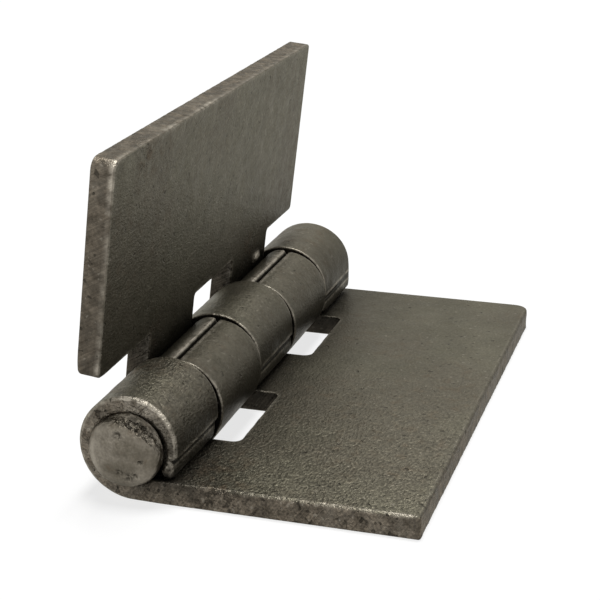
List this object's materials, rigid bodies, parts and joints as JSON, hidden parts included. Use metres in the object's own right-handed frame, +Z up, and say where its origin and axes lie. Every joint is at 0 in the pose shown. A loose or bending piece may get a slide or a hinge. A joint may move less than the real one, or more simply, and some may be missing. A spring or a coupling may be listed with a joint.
{
  "type": "weld-on flat hinge",
  "caption": "Plain steel weld-on hinge: undrilled sheet leaves rolled into interlocking knuckles that turn on a fixed pin with domed heads, standing part-open.",
  "frame": {"origin": "on the base leaf's underside, straight below the pin's axis, at the middle of the base leaf's length", "axes": "+Y along the pin, away from the end that the picture shows; +X from the pin towards the base leaf's free edge; +Z up, away from the surface that the base leaf lies on"},
  "size_m": [0.0571, 0.1054, 0.0578],
  "materials": {
    "mill_steel": "bare dark mill finish, olive-grey, fine granular grain with slight rust",
    "pin_steel": "bare steel, hammered dome, lighter than the sheet"
  },
  "bodies": {
    "base": {"base_leaf": "mill_steel", "pin": "pin_steel"},
    "swing": {"swing_leaf": "mill_steel"}
  },
  "joints": [
    {"name": "leaf_hinge", "type": "hinge", "parent": "base", "child": "swing", "pos_m": [0, 0, 0.00908], "axis": [0, -1, 0], "range_deg": [-94.5, 201]}
  ]
}
